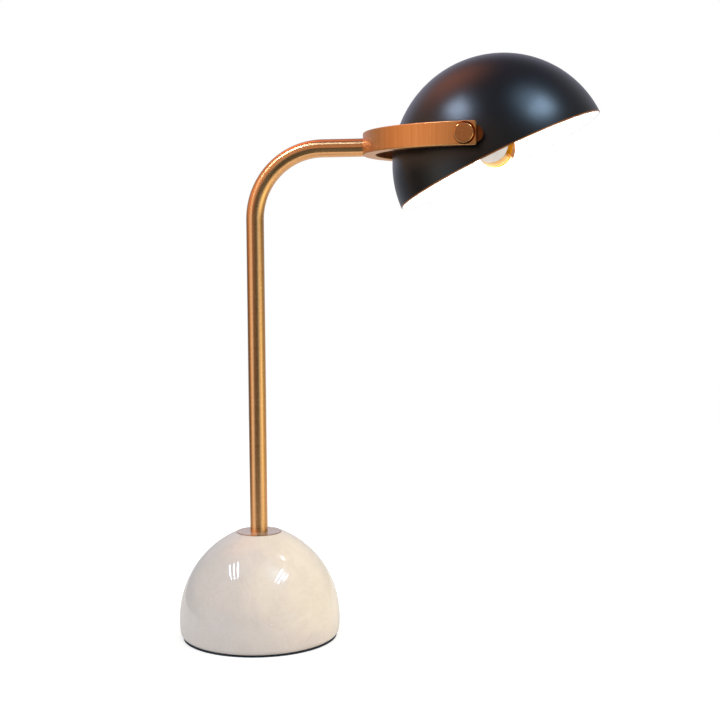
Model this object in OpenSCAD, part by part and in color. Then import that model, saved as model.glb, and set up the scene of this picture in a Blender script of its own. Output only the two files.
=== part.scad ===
// Desk lamp with a polished stone dome base, a bent brass stem, a half-ring yoke
// and a tilting metal dome shade. Millimetres, +Z up. The origin is the centre of
// the underside, and the arm reaches along +X. "Far" is +Y and "near" is -Y.

/* [Base] */
// Widest radius of the stone dome
base_r = 73.5; // [70:0.5:80]
// Height of the widest ring of the stone
base_waist_z = 17; // [12:0.5:20]
// Radius of the arc that shapes the side of the stone
base_arc_r = 86; // [84:0.5:92]
// Height of the flat top of the stone
base_top_z = 95; // [88:0.5:96]
// Radius of the rounding round the foot of the stone
base_round = 5; // [2:0.5:8]
// Thickness of the soft pad under the stone
pad_t = 2; // [1:0.5:3]
// How far the pad reaches past the flat underside of the stone
pad_reach = 3.5; // [0:0.5:4]
// Radius of the recess in the underside
recess_r = 32; // [28:1:38]
// Height of the recess above the table
recess_top_z = 30; // [26:1:40]
// Radius of the cover disc on top of the stone
disc_r = 20.3; // [15:0.1:22]
// Thickness of the cover disc
disc_t = 1.7; // [1:0.1:3]
// Radius of the clamp washer in the recess
clamp_washer_r = 22; // [14:1:26]
// Thickness of the clamp washer
clamp_washer_t = 2; // [1:0.5:3]

/* [Cord outlet] */
// Height of the cord outlet at the back of the stone
outlet_z = 16; // [13:0.5:20]
// Radius of the cord channel through the stone
outlet_channel_r = 4.8; // [4:0.1:6]
// Radius of the hole through the outlet bush
outlet_bore_r = 3.3; // [2.5:0.1:3.6]
// Length of the outlet bush behind its flange
outlet_bush_len = 14; // [8:1:20]
// Radius of the flange of the outlet bush
outlet_flange_r = 6.4; // [5.5:0.1:8]
// Thickness of the flange of the outlet bush
outlet_flange_t = 2.6; // [1.5:0.1:4]

/* [Stem] */
// Outer radius of the stem tube
stem_r = 8; // [7:0.1:9]
// Wall of the stem tube
stem_wall = 1.5; // [1:0.1:2]
// Height of the axis of the level arm
arm_z = 443.2; // [380:1:500]
// Radius of the bend, at the axis of the tube
bend_r = 62.3; // [40:0.5:80]
// Distance from the stem's axis to the back of the yoke
reach = 100.3; // [90:0.5:140]
// Radius of the hollow threaded rod through the stone
rod_r = 5; // [4:0.1:5.5]
// Radius of the hole along the threaded rod
rod_bore_r = 3; // [2:0.1:3.4]
// Length of the bushing in the foot of the stem
bushing_len = 16; // [10:1:25]

/* [Yoke] */
// Room between the shade and the inside of the yoke
yoke_gap = 4; // [3:0.1:8]
// Thickness of the yoke, across the ring
yoke_t = 11.2; // [10:0.1:14]
// Height of the yoke
yoke_h = 19.1; // [18:0.1:24]
// Wall of the hollow yoke
yoke_wall = 1.6; // [1:0.1:2]
// How far the yoke sits above the axis of the arm
yoke_rise = 1.1; // [0:0.1:1.4]
// Distance from the centre of the yoke's ring back to the pivot
pivot_setback = 12.5; // [8:0.5:20]
// Length of the yoke's arms in front of the pivot
yoke_tail = 9.4; // [9:0.1:12]
// Length of solid metal behind the pivot
yoke_solid = 12.5; // [11:0.5:20]

/* [Shade] */
// Outer radius of the shade
shade_r = 94.4; // [85:0.2:110]
// Thickness of the shade
shade_t = 1.2; // [0.8:0.1:2]
// Height of the rim above the centre of the dome, along the shade's own axis
rim_up = 2.5; // [0:0.1:8]
// Tilt of the shade at rest, in degrees
shade_tilt = 25.3; // [0:0.1:30]
// Distance from the shade's axis back to the pivot
pivot_back = 13.2; // [8:0.1:20]
// Distance of the pivot above the centre of the dome
pivot_up = 26; // [20:0.1:32]

/* [Pivots] */
// Radius of the hollow pivot shaft
pivot_r = 5; // [4:0.1:5.2]
// Radius of the hole through the pivot shaft
pivot_bore_r = 3.2; // [2.4:0.1:3.4]
// Radius of the head of the pivot shaft
pivot_head_r = 6.4; // [6:0.1:6.8]
// Thickness of the head of the pivot shaft
pivot_head_t = 1.4; // [1:0.1:2]
// Running clearance round the pivot shaft
pivot_fit = 0.05; // [0.02:0.01:0.1]
// Yoke metal left between the head's pocket and the inside of the yoke
pocket_floor = 2.4; // [1.5:0.1:3]
// Radius of the round cap over each pivot
cap_r = 7.85; // [7.5:0.05:8.2]
// Thickness of the cap outside the yoke
cap_t = 3.2; // [3:0.1:4.5]
// Radius of the flat that is turned into the yoke under the cap
spot_r = 9.2; // [8.4:0.1:9.4]
// Half width of the bearing plate on the inside of the yoke
plate_r = 7; // [6.2:0.1:8]
// How far the plate's round end lies in front of the pivot
plate_forward = 7.8; // [5:0.1:10]
// Running room between the bearing plate and the bulge of the shade
plate_room = 0.5; // [0.4:0.1:1.5]
// Radius of the friction washer and of the saddles that it turns on
saddle_r = 8; // [7.5:0.1:9]
// Thickness of the friction washer
friction_t = 0.8; // [0.5:0.1:1]
// Thinnest part of the saddle inside the shade
saddle_t = 1; // [0.6:0.1:2]
// Thickness of the nut inside the shade
pivot_nut_t = 5; // [3:0.5:6]

/* [Lampholder] */
// Distance of the lampholder's axis above the centre of the dome
holder_up = 14.5; // [12:0.1:16]
// Distance of the back of the lampholder from the middle of the shade
holder_back = 50; // [48:0.5:52]
// Outer radius of the lampholder cup
cup_r = 15; // [14:0.1:15.5]
// Wall of the lampholder cup
cup_wall = 1; // [0.6:0.1:1.2]
// Length of the lampholder cup
cup_len = 64; // [62:0.5:66]
// Length of the ceramic core
core_len = 38; // [36:0.5:40]
// Thickness of the closed end of the ceramic core
core_floor = 10; // [8:0.5:12]
// Inner radius of the screw shell
shell_r = 7.15; // [7.1:0.01:7.2]
// Wall of the screw shell
shell_wall = 0.45; // [0.3:0.05:0.6]
// Thickness of the bracket
bracket_t = 1.5; // [1:0.1:2]
// Clear height between the bracket's foot and the shade
bracket_stand = 6; // [5:0.5:8]
// Slant of the bracket's foot, in degrees
bracket_slant = 18.8; // [16:0.2:22]

/* [Bulb] */
// Radius of the globe
globe_r = 22.5; // [19:0.5:24]
// Thickness of the glass
glass_t = 0.9; // [0.6:0.1:1.5]
// Length of the glass from the cap to the tip
glass_len = 52; // [50:0.5:56]
// Radius of the metal cap
bulb_cap_r = 6.95; // [6.8:0.01:7.0]
// Length of the metal cap
bulb_cap_len = 22; // [20:0.5:24]

/* [Wiring] */
// Radius of the inner lead
lead_r = 1.5; // [1:0.1:1.6]
// Smallest bend radius of the lead
lead_bend = 4; // [3.5:0.1:4.5]
// Radius of each insulated core of the lead
core_wire_r = 0.7; // [0.5:0.05:0.9]

/* [Hidden] */
$fn = 96;
// Clearance between a thread and its nut, or a plug and its seat
seat = 0.05;
// Clearance round a plain part in its hole
loose = 0.3;
// Overshoot of a cut beyond the face that it leaves through
over = 1;

// Stone: the side is one arc, and a smaller arc rounds its foot
arc_x = base_r - base_arc_r;
round_z = pad_t + base_round;
round_x = arc_x + sqrt(pow(base_arc_r - base_round, 2) - pow(base_waist_z - round_z, 2));
round_top_z = base_waist_z - (base_waist_z - round_z) * base_arc_r / (base_arc_r - base_round);
function stone_r(z) = arc_x + sqrt(base_arc_r * base_arc_r - pow(z - base_waist_z, 2));
disc_top = base_top_z + disc_t;
rod_hole_r = rod_r + 2 * loose;
clamp_nut_t = 6;
clamp_nut_af = 17;
tag_t = 0.8;
tag_z = recess_top_z - clamp_washer_t - tag_t;
nut_z = tag_z - clamp_nut_t;
rod_foot_z = nut_z - 2;
outlet_seat_x = stone_r(outlet_z) - 0.9;

// Stem
bore_r = stem_r - stem_wall;
bend_z = arm_z - bend_r;

// Yoke, a half ring seen from above
yoke_r = shade_r + yoke_gap + yoke_t;
yoke_in_r = yoke_r - yoke_t;
ring_x = reach + yoke_r;
pivot_x = ring_x - pivot_setback;
yoke_z = arm_z + yoke_rise;
yoke_end_x = pivot_x + yoke_tail;
channel_angle = acos((pivot_setback + yoke_solid) / (yoke_r - yoke_t / 2));
channel_t = yoke_t - 2 * yoke_wall;
channel_h = yoke_h - 2 * yoke_wall;
cable_hole_r = bore_r - 1.5;

// Stations along each pivot, as distances from the middle plane
function ring_y(r, x) = sqrt(r * r - pow(ring_x - x, 2));
spot_y = ring_y(yoke_r, pivot_x - spot_r) - 0.3;
yoke_in_y = ring_y(yoke_in_r, pivot_x);
plate_y = shade_r + plate_room;
friction_y = plate_y - friction_t;
pocket_y = yoke_in_y + pocket_floor;
wave_t = 0.6;
wave_r = pivot_head_r - 0.2;
head_y = pocket_y + wave_t;
head_top_y = head_y + pivot_head_t;
pocket_r = pivot_head_r + loose;
pivot_off = sqrt(pivot_back * pivot_back + pivot_up * pivot_up);
shade_in_r = shade_r - shade_t;
saddle_y = sqrt(pow(shade_in_r, 2) - pow(pivot_off + saddle_r, 2)) - saddle_t;
pivot_end_y = saddle_y - pivot_nut_t - 2;
pivot_nut_af = 14;
pivot_hole_r = pivot_r + loose;

// Cap over each pivot
cap_plug_len = 1.2;
cap_plug_r = pocket_r - 0.1;
cap_hollow_r = cap_plug_r - 1.2;
cap_roof = 1.4;
cap_bevel = 0.7;
drill_y = head_top_y + lead_r + 0.2;

// Lampholder, measured along its own axis from the back of the cup
nut_af = 14;
nut_t = 4;
nipple_r = 5;
nipple_bore_r = 3;
nipple_in = 6;
nipple_out = bracket_t + nut_t + 3;
cup_in_r = cup_r - cup_wall;
core_start = cup_len - core_len - 6;
core_end = core_start + core_len;
core_r = cup_in_r - 0.15;
shell_start = core_start + core_floor;
shell_out_r = shell_r + shell_wall;
bulb_start = core_end - bulb_cap_len + 1;
bulb_end = bulb_start + bulb_cap_len;
globe_centre = bulb_end + glass_len - globe_r;
neck_r = 10.5;
foot_r = shade_in_r - bracket_stand - bracket_t;
foot_half_w = 11;
foot_ahead = 10;
stud_r = 2;
stud_gap = 8;
stud_nut_t = 3.2;
stud_len = bracket_stand + bracket_t + stud_nut_t + 1.2;

// Terminal block in the recess
block_size = [14, 20, 11];
block_x = block_size[0] / 2 + 5 - recess_r;
block_z = pad_t + block_size[2] / 2;
block_way = block_size[1] / 4;
block_screw_r = 1.8;

// Inner lead: up the rod and the stem, round the near half of the yoke and into the shade
sheath_x = block_x + block_size[0] / 2 + 6;
lead_room = 0.8;
lead_ring_r = yoke_r - yoke_wall - lead_r - lead_room;
turn_x = ring_x - lead_ring_r - lead_bend;
lead_joint_x = turn_x - 1;
tight_bend = 2.4;
lead_end_angle = acos((pivot_setback + pocket_r - lead_r) / lead_ring_r);
lead_split_y = drill_y - tight_bend - 0.5;

// Colours
brass = [0.78, 0.52, 0.30];
pale_brass = [0.85, 0.68, 0.38];
steel = [0.72, 0.73, 0.75];
stone = [0.93, 0.89, 0.85];
ink = [0.08, 0.09, 0.14];
black = [0.05, 0.055, 0.065];
white = [0.92, 0.91, 0.89];
ceramic = [0.95, 0.94, 0.90];
rubber = [0.10, 0.10, 0.11];

// ---- Shapes that repeat ----

module ring(outer, inner, h) {
    difference() {
        cylinder(r = outer, h = h);
        translate([0, 0, -over]) cylinder(r = inner, h = h + 2 * over);
    }
}

module hex_nut(af, hole, h) {
    difference() {
        cylinder(d = af / cos(30), h = h, $fn = 6);
        translate([0, 0, -over]) cylinder(r = hole, h = h + 2 * over);
    }
}

// Turns +Z outward along one pivot: side is 1 for the far one and -1 for the near one
module outward(side) {
    rotate([-90 * side, 0, 0]) children();
}

module at_pivot(side) {
    translate([pivot_x, 0, yoke_z]) outward(side) children();
}

// The shade's own frame: origin at the centre of the dome, +Z towards its crown
module in_shade() {
    translate([pivot_x, 0, yoke_z]) rotate([0, -shade_tilt, 0])
        translate([pivot_back, 0, -pivot_up]) children();
}

module at_shade_pivot(side) {
    in_shade() translate([-pivot_back, 0, pivot_up]) outward(side) children();
}

// The lampholder's frame: +Z along its axis from the back of the cup to the bulb
module at_holder() {
    in_shade() translate([0, -holder_back, holder_up]) rotate([-90, 0, 0]) children();
}

// The foot of the bracket: +Z towards the shade, along a radius of the dome
module at_foot() {
    in_shade() rotate([bracket_slant, 0, 0]) children();
}

// ---- A round lead swept along a list of points ----

function unit(v) = v / norm(v);
function heading(p, i) = unit(p[min(i + 1, len(p) - 1)] - p[max(i - 1, 0)]);
function square_to(v, t) = unit(v - (v * t) * t);
function first_side(t) = abs(t[2]) < 0.9 ? square_to([0, 0, 1], t) : square_to([1, 0, 0], t);
function sides(p, i = 0, last = undef) =
    let (u = i == 0 ? first_side(heading(p, 0)) : square_to(last, heading(p, i)))
    i == len(p) - 1 ? [u] : concat([u], sides(p, i + 1, u));

module lead(p, r, n = 10) {
    s = sides(p);
    points = [for (i = [0 : len(p) - 1]) let (t = heading(p, i), u = s[i], v = cross(t, u))
        for (k = [0 : n - 1]) p[i] + r * (u * cos(360 * k / n) + v * sin(360 * k / n))];
    walls = [for (i = [0 : len(p) - 2], k = [0 : n - 1]) let (a = i * n + k, b = i * n + (k + 1) % n)
        each [[a, b + n, b], [a, a + n, b + n]]];
    first_cap = [[for (k = [0 : n - 1]) k]];
    last_cap = [[for (k = [n - 1 : -1 : 0]) (len(p) - 1) * n + k]];
    polyhedron(points, concat(walls, first_cap, last_cap));
}

// ---- Base ----

module base_stone() {
    color(stone) difference() {
        rotate_extrude() difference() {
            intersection() {
                translate([arc_x, base_waist_z]) circle(r = base_arc_r, $fn = 360);
                translate([0, pad_t]) square([base_arc_r, base_top_z - pad_t]);
            }
            difference() {
                translate([round_x, 0]) square([base_arc_r, round_top_z]);
                translate([round_x, round_z]) circle(r = base_round);
            }
        }
        cylinder(r = recess_r, h = recess_top_z);
        cylinder(r = rod_hole_r, h = base_top_z + over);
        translate([0, 0, outlet_z]) rotate([0, -90, 0]) {
            cylinder(r = outlet_channel_r, h = base_r + over);
            translate([0, 0, outlet_seat_x]) cylinder(r = outlet_flange_r + loose, h = base_r);
        }
    }
}

module base_pad() {
    color(ink) cylinder(r = round_x + pad_reach, h = pad_t);
}

module cover_disc() {
    bevel = 0.4;
    color(brass) difference() {
        translate([0, 0, base_top_z]) {
            cylinder(r = disc_r, h = disc_t - bevel);
            translate([0, 0, disc_t - bevel]) cylinder(r1 = disc_r, r2 = disc_r - bevel, h = bevel);
        }
        cylinder(r = rod_r + loose, h = disc_top + over);
    }
}

module clamp_washer() {
    color(steel) translate([0, 0, recess_top_z - clamp_washer_t])
        ring(clamp_washer_r, rod_r + loose, clamp_washer_t);
}

module clamp_nut() {
    color(steel) translate([0, 0, nut_z])
        hex_nut(clamp_nut_af, rod_r + seat, clamp_nut_t);
}

module threaded_rod() {
    color(steel) translate([0, 0, rod_foot_z])
        ring(rod_r, rod_bore_r, disc_top + bushing_len - 1 - rod_foot_z);
}

module outlet_bush() {
    color(rubber) translate([0, 0, outlet_z]) rotate([0, -90, 0]) difference() {
        union() {
            translate([0, 0, outlet_seat_x]) cylinder(r = outlet_flange_r, h = outlet_flange_t - 0.8);
            translate([0, 0, outlet_seat_x + outlet_flange_t - 0.8])
                cylinder(r1 = outlet_flange_r, r2 = outlet_flange_r - 1.4, h = 0.8);
            translate([0, 0, outlet_seat_x - outlet_bush_len])
                cylinder(r = outlet_channel_r - seat, h = outlet_bush_len + over);
        }
        cylinder(r = outlet_bore_r, h = 2 * base_r);
    }
}

// ---- Wiring in the base ----

module terminal_block() {
    way_r = 2;
    color(white) difference() {
        translate([block_x - block_size[0] / 2, -block_size[1] / 2, pad_t]) cube(block_size);
        for (side = [-1, 1]) translate([block_x, side * block_way, block_z]) {
            rotate([0, 90, 0]) cylinder(r = way_r, h = block_size[0] + over, center = true);
            cylinder(r = block_screw_r + 0.1, h = block_size[2]);
        }
    }
}

module terminal_screws() {
    slot_w = 0.6;
    slot_depth = 0.8;
    sunk = 0.4;
    foot = core_wire_r + 0.05;
    head = block_size[2] / 2 - sunk;
    color(steel) for (side = [-1, 1]) translate([block_x, side * block_way, block_z]) difference() {
        translate([0, 0, foot]) cylinder(r = block_screw_r, h = head - foot);
        translate([-2 * block_screw_r, -slot_w / 2, head - slot_depth])
            cube([4 * block_screw_r, slot_w, slot_depth + over]);
    }
}

// The two cores of the lead, from the end of its sheath into the block
module stand_wires() {
    face_x = block_x + block_size[0] / 2;
    start = core_wire_r + 0.1;
    steps = 8;
    color("firebrick") for (side = [-1, 1]) lead(concat(
        [[sheath_x, side * start, block_z]],
        [for (k = [0 : steps]) let (t = k / steps) [sheath_x - 0.3 + (face_x - sheath_x + 0.3) * t,
            side * (start + (block_way - start) * (1 - cos(180 * t)) / 2), block_z]],
        [[block_x - 2, side * block_way, block_z]]), core_wire_r, 8);
}

module earth_tag() {
    color(pale_brass) translate([0, 0, tag_z]) difference() {
        union() {
            cylinder(r = rod_r + 3.5, h = tag_t);
            translate([0, -3, 0]) cube([18, 6, tag_t]);
        }
        translate([0, 0, -over]) cylinder(r = rod_r + seat, h = tag_t + 2 * over);
        translate([14.5, 0, -over]) cylinder(r = 1.4, h = tag_t + 2 * over);
    }
}

// ---- Stem ----

module stem_bushing() {
    color(steel) translate([0, 0, disc_top]) ring(bore_r - seat, rod_r + seat, bushing_len);
}

// The stem's own path, for a rod of radius r
module stem_path(r, foot_z, end_x) {
    translate([0, 0, foot_z]) cylinder(r = r, h = bend_z - foot_z);
    translate([bend_r, 0, bend_z]) rotate([90, 0, 180]) rotate_extrude(angle = 90)
        translate([bend_r, 0]) circle(r = r);
    translate([bend_r, 0, arm_z]) rotate([0, 90, 0]) cylinder(r = r, h = end_x - bend_r);
}

module stem_tube() {
    color(brass) difference() {
        stem_path(stem_r, disc_top, reach + 2);
        stem_path(bore_r, disc_top - over, reach + 3);
        translate([ring_x, 0, arm_z - 2 * stem_r]) cylinder(r = yoke_r, h = 4 * stem_r, $fn = 360);
    }
}

module stand_lead() {
    foot_bend = 6;
    foot = [for (a = [0 : 15 : 90]) [foot_bend * (sin(a) - 1), 0, block_z + foot_bend * (1 - cos(a))]];
    bend = [for (a = [0 : 7.5 : 90]) [bend_r * (1 - cos(a)), 0, bend_z + bend_r * sin(a)]];
    color(white) lead(concat([[sheath_x, 0, block_z]], foot, bend, [[lead_joint_x, 0, arm_z]]), lead_r);
}

// ---- Yoke ----

module yoke_ring(outer, inner, h) {
    difference() {
        translate([ring_x, 0, yoke_z - h / 2]) cylinder(r = outer, h = h, $fn = 360);
        translate([ring_x, 0, yoke_z - h / 2 - over]) cylinder(r = inner, h = h + 2 * over, $fn = 360);
    }
}

module yoke() {
    color(brass) difference() {
        yoke_ring(yoke_r, yoke_in_r, yoke_h);
        translate([yoke_end_x, -2 * yoke_r, yoke_z - yoke_h]) cube([2 * yoke_r, 4 * yoke_r, 2 * yoke_h]);
        translate([ring_x, 0, yoke_z - channel_h / 2]) rotate([0, 0, 180 - channel_angle])
            rotate_extrude(angle = 2 * channel_angle, $fn = 360)
                translate([yoke_in_r + yoke_wall, 0]) square([channel_t, channel_h]);
        translate([reach - over, 0, arm_z]) rotate([0, 90, 0])
            cylinder(r = cable_hole_r, h = over + yoke_t / 2);
        for (side = [-1, 1]) at_pivot(side) {
            cylinder(r = pivot_r + pivot_fit, h = yoke_r + over);
            translate([0, 0, pocket_y]) cylinder(r = pocket_r, h = yoke_t + over);
            translate([0, 0, spot_y]) cylinder(r = spot_r, h = yoke_t);
        }
        translate([ring_x, 0, yoke_z]) rotate([0, 0, 180 + channel_angle - 1])
            rotate_extrude(angle = lead_end_angle - channel_angle + 1, $fn = 360)
                translate([lead_ring_r, 0]) circle(r = lead_r + loose);
    }
}

// A point on the lead inside the yoke, at an angle from the back of the ring
function lead_arc(a) = [ring_x - lead_ring_r * cos(a), -lead_ring_r * sin(a), yoke_z];

module yoke_lead() {
    first = asin(lead_bend / lead_ring_r);
    steps = 16;
    elbow = [for (a = [0 : 15 : 75]) [turn_x + lead_bend * sin(a), -lead_bend * (1 - cos(a)),
        arm_z + yoke_rise * a / 90]];
    along = [for (k = [0 : steps]) lead_arc(first + (lead_end_angle - 1 - first) * k / steps)];
    corner = [pivot_x - tight_bend, -drill_y, yoke_z];
    finish = [for (a = [0 : 15 : 90]) corner + tight_bend * [sin(a), 1 - cos(a), 0]];
    split = [pivot_x, -lead_split_y, yoke_z];
    color(white) lead(concat([[lead_joint_x, 0, arm_z]], elbow, along, finish, [split]), lead_r);
}

module bearing_plates() {
    color(brass) for (side = [-1, 1]) intersection() {
        at_pivot(side) difference() {
            translate([0, 0, plate_y]) linear_extrude(yoke_t) {
                circle(r = plate_r);
                translate([plate_forward, 0]) circle(r = plate_r);
                translate([0, -plate_r]) square([plate_forward, 2 * plate_r]);
            }
            cylinder(r = pivot_r + pivot_fit, h = yoke_r + over);
        }
        translate([ring_x, 0, yoke_z - yoke_h]) cylinder(r = yoke_in_r, h = 2 * yoke_h, $fn = 360);
    }
}

module wave_washers() {
    color(steel) for (side = [-1, 1]) at_pivot(side) translate([0, 0, pocket_y])
        ring(wave_r, pivot_hole_r, wave_t);
}

module pivot_caps() {
    color(brass) for (side = [-1, 1]) at_pivot(side) difference() {
        translate([0, 0, spot_y]) {
            translate([0, 0, -cap_plug_len]) cylinder(r = cap_plug_r, h = cap_plug_len + over);
            cylinder(r = cap_r, h = cap_t - cap_bevel);
            translate([0, 0, cap_t - cap_bevel]) cylinder(r1 = cap_r, r2 = cap_r - cap_bevel, h = cap_bevel);
        }
        translate([0, 0, spot_y - yoke_t]) cylinder(r = cap_hollow_r, h = yoke_t + cap_t - cap_roof);
    }
}

// ---- Shade and its pivots ----

module shade_shell() {
    color(black) in_shade() difference() {
        sphere(r = shade_r, $fn = 360);
        sphere(r = shade_in_r, $fn = 360);
        translate([0, 0, rim_up - 2 * shade_r]) cylinder(r = 2 * shade_r, h = 2 * shade_r);
        for (side = [-1, 1]) translate([-pivot_back, 0, pivot_up]) outward(side)
            cylinder(r = pivot_hole_r, h = 2 * shade_r);
    }
}

module friction_washers() {
    color(rubber) for (side = [-1, 1]) at_shade_pivot(side) translate([0, 0, friction_y])
        ring(saddle_r, pivot_hole_r, friction_t);
}

module outer_saddles() {
    color(brass) difference() {
        for (side = [-1, 1]) at_shade_pivot(side)
            translate([0, 0, saddle_y]) ring(saddle_r, pivot_hole_r, friction_y - saddle_y);
        in_shade() sphere(r = shade_r, $fn = 360);
    }
}

module inner_saddles() {
    color(steel) intersection() {
        union() for (side = [-1, 1]) at_shade_pivot(side)
            translate([0, 0, saddle_y]) ring(saddle_r, pivot_hole_r, friction_y - saddle_y);
        in_shade() sphere(r = shade_in_r, $fn = 360);
    }
}

module hollow_pivots() {
    color(steel) for (side = [-1, 1]) at_shade_pivot(side) difference() {
        union() {
            translate([0, 0, pivot_end_y]) cylinder(r = pivot_r, h = head_y + pivot_head_t / 2 - pivot_end_y);
            translate([0, 0, head_y]) cylinder(r = pivot_head_r, h = pivot_head_t);
        }
        cylinder(r = pivot_bore_r, h = yoke_r);
    }
}

module pivot_nuts() {
    color(steel) for (side = [-1, 1]) at_shade_pivot(side) translate([0, 0, saddle_y - pivot_nut_t])
        hex_nut(pivot_nut_af, pivot_r + seat, pivot_nut_t);
}

module shade_lead() {
    y0 = -lead_split_y + 0.1;
    y1 = -pivot_end_y + 1;
    y2 = -holder_back - nipple_out - 1;
    y3 = -holder_back + nipple_in;
    from = [-pivot_back, y1, pivot_up];
    shift = [pivot_back, 0, holder_up - pivot_up];
    bend = [for (k = [0 : 16]) let (t = k / 16)
        from + shift * (1 - cos(180 * t)) / 2 + [0, (y2 - y1) * t, 0]];
    color(white) in_shade() lead(concat([[-pivot_back, y0, pivot_up]], bend, [[0, y3, holder_up]]), lead_r);
}

// ---- Bracket that carries the lampholder ----

module bracket_studs() {
    color(steel) intersection() {
        at_foot() for (side = [-1, 1]) translate([side * stud_gap, 0, shade_in_r - stud_len])
            cylinder(r = stud_r, h = stud_len);
        in_shade() sphere(r = shade_in_r, $fn = 360);
    }
}

// A bent strip, drawn from the side, with a round end behind the lampholder
module holder_bracket() {
    back = -holder_back - bracket_t;
    along = [cos(bracket_slant), sin(bracket_slant)];
    across = [-sin(bracket_slant), cos(bracket_slant)];
    color(white) difference() {
        in_shade() {
            translate([-foot_half_w, 0, 0]) rotate([90, 0, 90]) linear_extrude(2 * foot_half_w) polygon([
                [back, holder_up], [-holder_back, holder_up], [-holder_back, foot_height(-holder_back, foot_r)],
                foot_ahead * along + foot_r * across, foot_ahead * along + (foot_r + bracket_t) * across,
                [back, foot_height(back, foot_r + bracket_t)]]);
            translate([0, -holder_back, holder_up]) rotate([90, 0, 0]) cylinder(r = cup_r, h = bracket_t);
        }
        at_holder() translate([0, 0, -bracket_t - over]) cylinder(r = nipple_r + seat, h = bracket_t + 2 * over);
        at_foot() for (side = [-1, 1]) translate([side * stud_gap, 0, foot_r - over])
            cylinder(r = stud_r + loose, h = bracket_t + 2 * over);
    }
}

// Height, along the shade's axis, at which a plane of the slanted foot passes over y
function foot_height(y, distance) = (distance + y * sin(bracket_slant)) / cos(bracket_slant);

module bracket_nuts() {
    color(steel) at_foot() for (side = [-1, 1])
        translate([side * stud_gap, 0, foot_r - stud_nut_t]) hex_nut(7, stud_r + seat, stud_nut_t);
}

// ---- Lampholder ----

module entry_nipple() {
    color(steel) at_holder() translate([0, 0, -nipple_out]) ring(nipple_r, nipple_bore_r, nipple_out + nipple_in);
}

module nipple_nut() {
    color(steel) at_holder() translate([0, 0, -bracket_t - nut_t]) hex_nut(nut_af, nipple_r + seat, nut_t);
}

module holder_cup() {
    bead = 1.5;
    color(pale_brass) at_holder() difference() {
        union() {
            cylinder(r = cup_r, h = cup_len - 2);
            translate([0, 0, cup_len - 2]) cylinder(r = cup_r + 0.5, h = 2);
            cup_rib();
        }
        translate([0, 0, cup_wall + 0.5]) cylinder(r = cup_in_r - bead, h = cup_len);
        translate([0, 0, cup_wall + 0.5]) cylinder(r = cup_in_r, h = core_start - bead - cup_wall - 0.5);
        translate([0, 0, core_start]) cylinder(r = cup_in_r, h = cup_len);
        translate([0, 0, -over]) cylinder(r = nipple_r + seat, h = cup_wall + 3);
    }
}

// Raised seat for the earth screw, on the front of the cup
module cup_rib() {
    rib_t = 2.6;
    rib_from = 8;
    rib_len = 44;
    translate([0, 0, rib_from]) rotate([0, 0, -50]) rotate_extrude(angle = 70)
        translate([cup_r - 0.5, 0]) square([rib_t + 0.5, rib_len]);
}

module holder_core() {
    color(ceramic) at_holder() difference() {
        translate([0, 0, core_start]) cylinder(r = core_r, h = core_len);
        translate([0, 0, shell_start]) cylinder(r = shell_out_r + seat, h = core_len);
        translate([0, 0, core_start - over]) for (side = [-1, 1])
            translate([0, side * 7, 0]) cylinder(r = 1.9, h = 6);
    }
}

module core_ring() {
    color(pale_brass) at_holder() translate([0, 0, core_end]) ring(cup_in_r - seat, neck_r + 1, 3);
}

module holder_terminals() {
    color(pale_brass) at_holder() for (side = [-1, 1]) translate([0, side * 7, core_start - 4]) {
        cylinder(r = 1.8, h = 8);
        cylinder(r = 3, h = 3.9);
    }
}

module holder_wires() {
    y_end = core_start - 4.2;
    color("firebrick") at_holder() for (side = [-1, 1])
        lead([for (k = [0 : 8]) let (t = k / 8) [0, side * (core_wire_r + 0.1 + 5.8 * (1 - cos(180 * t)) / 2),
            nipple_in + 0.2 + (y_end - nipple_in - 0.2) * t]], core_wire_r, 8);
}

module screw_shell() {
    color(pale_brass) at_holder() translate([0, 0, shell_start]) ring(shell_out_r, shell_r, core_end - shell_start);
}

module centre_contact() {
    tongue_t = 0.5;
    rise = bulb_start - 2.4 - shell_start - tongue_t;
    color(pale_brass) at_holder() translate([0, 0, shell_start]) {
        translate([-5.5, -2, 0]) cube([11, 4, tongue_t]);
        translate([-5.5, -2, 0]) cube([tongue_t, 4, rise + tongue_t]);
        translate([-5.5, -2, rise]) cube([8.5, 4, tongue_t]);
    }
}

// ---- Bulb ----

module bulb_cap() {
    pitch = 2.8;
    depth = 0.35;
    rings = floor((bulb_cap_len - 5) / pitch);
    color(steel) at_holder() translate([0, 0, bulb_start]) difference() {
        cylinder(r = bulb_cap_r, h = bulb_cap_len);
        translate([0, 0, -over]) cylinder(r = bulb_cap_r - 0.8, h = bulb_cap_len + 2 * over);
        for (k = [0 : rings - 1]) translate([0, 0, 2.4 + pitch * k]) rotate_extrude()
            translate([bulb_cap_r, 0]) rotate(45) square(depth * sqrt(2), center = true);
    }
}

module bulb_insulator() {
    color("black") at_holder() translate([0, 0, bulb_start - 1.6])
        cylinder(r1 = 3.2, r2 = bulb_cap_r - 0.9, h = 2.4);
}

module bulb_contact() {
    color(steel) at_holder() translate([0, 0, bulb_start - 2.4]) cylinder(r1 = 2, r2 = 2.6, h = 0.8);
}

// The glass is a globe with a neck that blends into it, as a turned outline
module glass_outline(inset) {
    r = globe_r - inset;
    neck = neck_r - inset;
    run = globe_centre - bulb_end;
    blend = 8;
    steps = 24;
    start = -42;
    join = [r * cos(start), run + r * sin(start)];
    curve = [for (k = [0 : blend]) let (t = k / blend, s = t * t * (3 - 2 * t))
        [neck + (join[0] - neck) * s, inset + (join[1] - inset) * t]];
    cap = [for (k = [1 : steps]) let (a = start + (90 - start) * k / steps) [r * cos(a), run + r * sin(a)]];
    polygon(concat([[0, inset]], curve, cap));
}

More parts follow.
